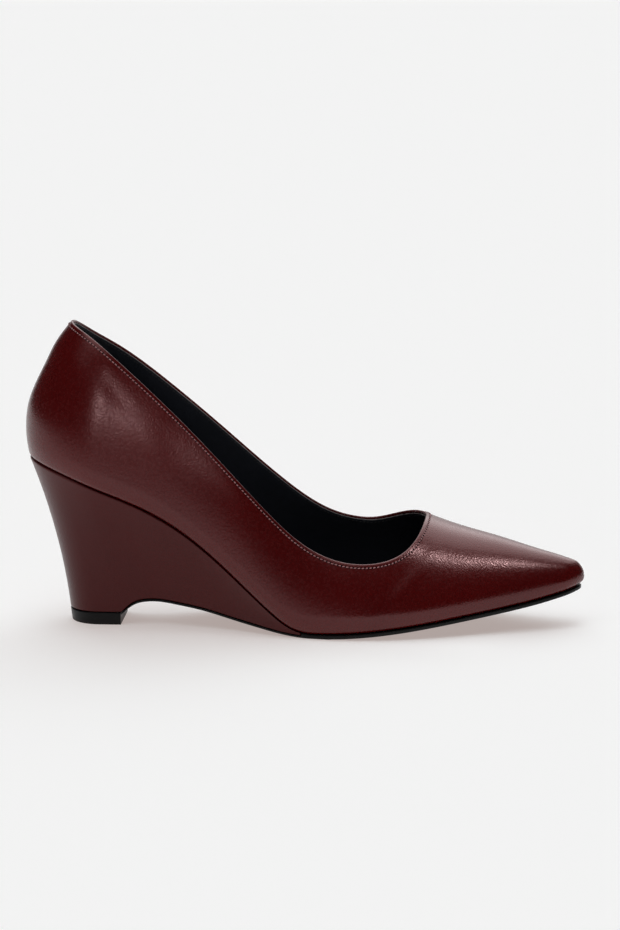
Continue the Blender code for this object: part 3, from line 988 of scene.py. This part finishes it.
def spaced(line, out, pitch):
    """Places at an even pitch on a line: point, outward direction and direction along."""
    lengths = [0.0]
    for near, far in zip(line, line[1:]):
        lengths.append(lengths[-1] + (far - near).length)
    count = round(lengths[-1] / pitch)
    places = []
    i = 0
    for number in range(count):
        at = lengths[-1] * (number + 0.5) / count
        while lengths[i + 1] < at:
            i += 1
        share = (at - lengths[i]) / (lengths[i + 1] - lengths[i])
        facing = out[i].lerp(out[i + 1], share).normalized()
        run = (line[i + 1] - line[i]).normalized()
        places.append((line[i].lerp(line[i + 1], share), facing, run))
    return places


def bead(points, faces, centre, along, across, up, sizes, sink):
    """Adds a long rounded bead whose ends dip into the leather."""
    rings, sectors = BEAD_RINGS, BEAD_SECTORS
    length, width, height = sizes
    start = len(points)
    points.append(centre - along * length / 2 - up * sink)
    for ring in range(1, rings):
        turn = math.pi * ring / rings
        middle = centre - along * length / 2 * math.cos(turn) - up * sink * math.cos(turn)**2
        for sector in range(sectors):
            spin = 2 * math.pi * sector / sectors
            fat = math.sin(turn)**BEAD_FULLNESS
            points.append(middle + across * width / 2 * fat * math.cos(spin)
                          + up * height / 2 * fat * math.sin(spin))
    points.append(centre + along * length / 2 - up * sink)
    last = len(points) - 1
    for sector in range(sectors):
        after = (sector + 1) % sectors
        faces.append((start, start + 1 + after, start + 1 + sector))
        tail = start + 1 + (rings - 2) * sectors
        faces.append((last, tail + sector, tail + after))
    for ring in range(rings - 2):
        base = start + 1 + ring * sectors
        for sector in range(sectors):
            after = (sector + 1) % sectors
            faces.append((base + sector, base + after,
                          base + sectors + after, base + sectors + sector))


def stitch_row(depth, width):
    """Beads of thread along the rim, each a little skewed, and the places of the holes between."""
    rng = random.Random(STITCH_SEED)
    points, faces, holes = [], [], []
    for centre, up, run in spaced(*stitch_path(depth), STITCH_PITCH):
        across = up.cross(run).normalized()
        skew = STITCH_SKEW + rng.uniform(-SKEW_VARIES, SKEW_VARIES)
        along = (run * math.cos(skew) + across * math.sin(skew)).normalized()
        side = up.cross(along).normalized()
        length = STITCH_LENGTH * rng.uniform(1 - LENGTH_VARIES, 1 + LENGTH_VARIES)
        raised = centre + up * width * STITCH_RISE
        bead(points, faces, raised, along, side, up, (length, width, width), width / 2)
        holes.append((centre + run * STITCH_PITCH / 2, up, run, across))
    return points, faces, holes


def build_stitches(thread, shadow, black):
    points, faces, holes = stitch_row(0, STITCH_WIDTH)
    add_piece("rim_stitches", points, faces, thread)
    # Dark beads in the gaps between the stitches: painted shade of the needle holes.
    points, faces = [], []
    for centre, up, run, across in holes:
        bead(points, faces, centre + up * HOLE_SIZE[2] * HOLE_RISE, run, across, up, HOLE_SIZE, 0)
    add_piece("stitch_hole_shade", points, faces, shadow)
    points, faces, _ = stitch_row(WALL, INNER_STITCH_WIDTH)
    add_piece("inner_stitches", points, faces, black)


# Materials

class Nodes:
    """Small helper that adds and joins the nodes of one material."""

    def __init__(self, name):
        self.material = bpy.data.materials.new(name)
        self.material.use_nodes = True
        self.tree = self.material.node_tree
        self.shader = self.tree.nodes["Principled BSDF"]
        self.place = self.add("ShaderNodeTexCoord").outputs["Object"]

    def add(self, kind, **values):
        node = self.tree.nodes.new(kind)
        for key, value in values.items():
            setattr(node, key, value)
        return node

    def join(self, start, end):
        self.tree.links.new(start, end)

    def noise(self, scale, detail):
        node = self.add("ShaderNodeTexNoise")
        node.inputs["Scale"].default_value = scale
        node.inputs["Detail"].default_value = detail
        self.join(self.place, node.inputs["Vector"])
        return node.outputs["Fac"]

    def blend(self, factor, low, high):
        node = self.add("ShaderNodeMix", data_type="RGBA")
        node.inputs["A"].default_value = (*low, 1)
        node.inputs["B"].default_value = (*high, 1)
        self.join(factor, node.inputs["Factor"])
        return node.outputs["Result"]

    def ranged(self, value, low, high, start=NOISE_LOW, end=NOISE_HIGH):
        node = self.add("ShaderNodeMapRange")
        node.inputs["From Min"].default_value = start
        node.inputs["From Max"].default_value = end
        node.inputs["To Min"].default_value = low
        node.inputs["To Max"].default_value = high
        self.join(value, node.inputs["Value"])
        return node.outputs["Result"]

    def bump(self, height, distance, strength, before=None):
        node = self.add("ShaderNodeBump")
        node.inputs["Distance"].default_value = distance
        node.inputs["Strength"].default_value = strength
        self.join(height, node.inputs["Height"])
        if before is not None:
            self.join(before, node.inputs["Normal"])
        return node.outputs["Normal"]

    def constants(self, **values):
        for key, value in values.items():
            self.shader.inputs[key.replace("_", " ")].default_value = value


def leather_finish(name, look):
    made = Nodes(name)
    tone = made.ranged(made.noise(TONE_SCALE, 3), 0.0, 1.0)
    made.join(made.blend(tone, look.dark, look.light), made.shader.inputs["Base Color"])
    polished, worn = (look.roughness + change for change in WEAR_RANGE)
    made.join(made.ranged(made.noise(WEAR_SCALE, 1), polished, worn), made.shader.inputs["Roughness"])
    pores = made.bump(made.noise(PORE_SCALE, 0), PORE_HEIGHT, look.grain)
    waves = made.bump(made.noise(WAVE_SCALE, 1), WAVE_HEIGHT, look.grain, pores)
    dents = made.bump(made.noise(DENT_SCALE, 2), DENT_HEIGHT, look.grain * DENT_SHARE, waves)
    made.join(dents, made.shader.inputs["Normal"])
    made.constants(Specular_IOR_Level=look.shine, Specular_Tint=(*look.tint, 1))
    return made.material


def rubber_finish(name, look):
    made = Nodes(name)
    tone = made.ranged(made.noise(RUBBER_TONE_SCALE, 3), 0.0, 1.0)
    made.join(made.blend(tone, look.dark, look.light), made.shader.inputs["Base Color"])
    polished, worn = (look.roughness + change for change in RUBBER_WEAR_RANGE)
    wear = made.ranged(made.noise(RUBBER_WEAR_SCALE, 3), polished, worn)
    made.join(wear, made.shader.inputs["Roughness"])
    grain = made.bump(made.noise(RUBBER_GRAIN_SCALE, 2), RUBBER_GRAIN_HEIGHT, look.grain)
    made.join(grain, made.shader.inputs["Normal"])
    made.constants(Specular_IOR_Level=RUBBER_SHINE)
    return made.material


def floor_finish():
    """Pale table top that glows a little: painted light that keeps shadows soft, with a warm glow
    that paints them warm.
    """
    made = Nodes("pale_floor")
    split = made.add("ShaderNodeSeparateXYZ")
    made.join(made.place, split.inputs[0])
    # The floor's colour and glow dim towards the front: painted shade.
    fade = made.ranged(split.outputs["Y"], FLOOR_PAINTED_SHADE_SHARE, 1, *FLOOR_PAINTED_SHADE_RUN)
    for socket, colour in (("Base Color", FLOOR_COLOUR), ("Emission Color", FLOOR_PAINTED_GLOW)):
        made.join(made.blend(fade, (0, 0, 0), colour), made.shader.inputs[socket])
    made.constants(Roughness=FLOOR_ROUGHNESS, Specular_IOR_Level=0.0, Emission_Strength=1.0)
    return made.material


# Stage, light and camera

def build_floor():
    mesh = bpy.data.meshes.new("floor")
    corners = [(-FLOOR_HALF, -FLOOR_HALF, 0), (FLOOR_HALF, -FLOOR_HALF, 0),
               (FLOOR_HALF, FLOOR_HALF, 0), (-FLOOR_HALF, FLOOR_HALF, 0)]
    mesh.from_pydata(corners, [], [(0, 1, 2, 3)])
    mesh.materials.append(floor_finish())
    floor = bpy.data.objects.new("floor", mesh)
    bpy.context.scene.collection.objects.link(floor)


def panel(name, place, target, size, radiance, spread):
    """Soft box with a grid, which faces a target."""
    light = bpy.data.lights.new(name, "AREA")
    light.shape = "RECTANGLE"
    light.size, light.size_y = size
    light.energy = radiance * math.pi * size[0] * size[1]
    light.spread = math.radians(spread)
    lamp = bpy.data.objects.new(name, light)
    lamp.location = place
    lamp.rotation_mode = "QUATERNION"
    lamp.rotation_quaternion = (Vector(place) - Vector(target)).to_track_quat("Z", "Y")
    bpy.context.scene.collection.objects.link(lamp)


def build_light():
    """Studio that is dark in front, bright behind and above, with soft boxes for the highlights."""
    world = bpy.data.worlds.new("studio")
    world.use_nodes = True
    tree = world.node_tree
    place = tree.nodes.new("ShaderNodeTexCoord")
    base = tree.nodes.new("ShaderNodeValue")
    base.outputs[0].default_value = WORLD_BASE
    total = base.outputs[0]
    for glow in GLOWS:
        azimuth = math.radians(glow.azimuth)
        elevation = math.radians(glow.elevation)
        flat = math.cos(elevation)
        facing = tree.nodes.new("ShaderNodeVectorMath")
        facing.operation = "DOT_PRODUCT"
        facing.inputs[1].default_value = (math.sin(azimuth) * flat, -math.cos(azimuth) * flat,
                                          math.sin(elevation))
        tree.links.new(place.outputs["Generated"], facing.inputs[0])
        ranged = tree.nodes.new("ShaderNodeMapRange")
        ranged.interpolation_type = "SMOOTHSTEP"
        ranged.inputs["From Min"].default_value = math.cos(math.radians(glow.start))
        ranged.inputs["From Max"].default_value = math.cos(math.radians(glow.full))
        ranged.inputs["To Min"].default_value = 0
        ranged.inputs["To Max"].default_value = glow.radiance
        tree.links.new(facing.outputs["Value"], ranged.inputs["Value"])
        sum_up = tree.nodes.new("ShaderNodeMath")
        sum_up.operation = "ADD"
        tree.links.new(ranged.outputs["Result"], sum_up.inputs[0])
        tree.links.new(total, sum_up.inputs[1])
        total = sum_up.outputs[0]
    back = tree.nodes["Background"]
    tree.links.new(total, back.inputs["Strength"])
    back.inputs["Color"].default_value = (1, 1, 1, 1)
    bpy.context.scene.world = world
    for values in PANELS:
        panel(*values)


def build_camera():
    data = bpy.data.cameras.new("camera")
    data.sensor_width = SENSOR
    data.lens = FOCAL_PIXELS / PHOTO_HEIGHT * SENSOR
    data.clip_end = CLIP_END
    camera = bpy.data.objects.new("camera", data)
    aim = Vector((AIM_STATION - ORIGIN_STATION, 0, AIM_HEIGHT))
    flat = math.cos(VIEW_ELEVATION)
    away = Vector((math.sin(VIEW_AZIMUTH) * flat, -math.cos(VIEW_AZIMUTH) * flat,
                   math.sin(VIEW_ELEVATION)))
    camera.location = aim + away * VIEW_DISTANCE
    camera.rotation_mode = "QUATERNION"
    camera.rotation_quaternion = away.to_track_quat("Z", "Y")
    bpy.context.scene.collection.objects.link(camera)
    bpy.context.scene.camera = camera


def main():
    bpy.context.scene.view_settings.view_transform = "Standard"
    build_camera()
    build_floor()
    build_light()
    burgundy = leather_finish("burgundy_leather", UPPER_LEATHER)
    cover = leather_finish("burgundy_cover", WEDGE_LEATHER)
    lining = leather_finish("black_lining", LINING_LEATHER)
    cut = leather_finish("cut_edge", CUT_LEATHER)
    sole = rubber_finish("black_sole", SOLE_RUBBER)
    tread = rubber_finish("black_tread", TREAD_RUBBER)
    thread = leather_finish("thread_with_painted_sheen", THREAD_WITH_PAINTED_SHEEN)
    black = leather_finish("dark_thread", DARK_THREAD)
    shadow = leather_finish("painted_hole_shade", PAINTED_HOLE_SHADE)
    build_upper(burgundy)
    build_lining(lining, cut)
    build_sock(lining)
    build_wedge(cover)
    build_tread(tread)
    build_outsole(sole)
    build_stitches(thread, shadow, black)


main()
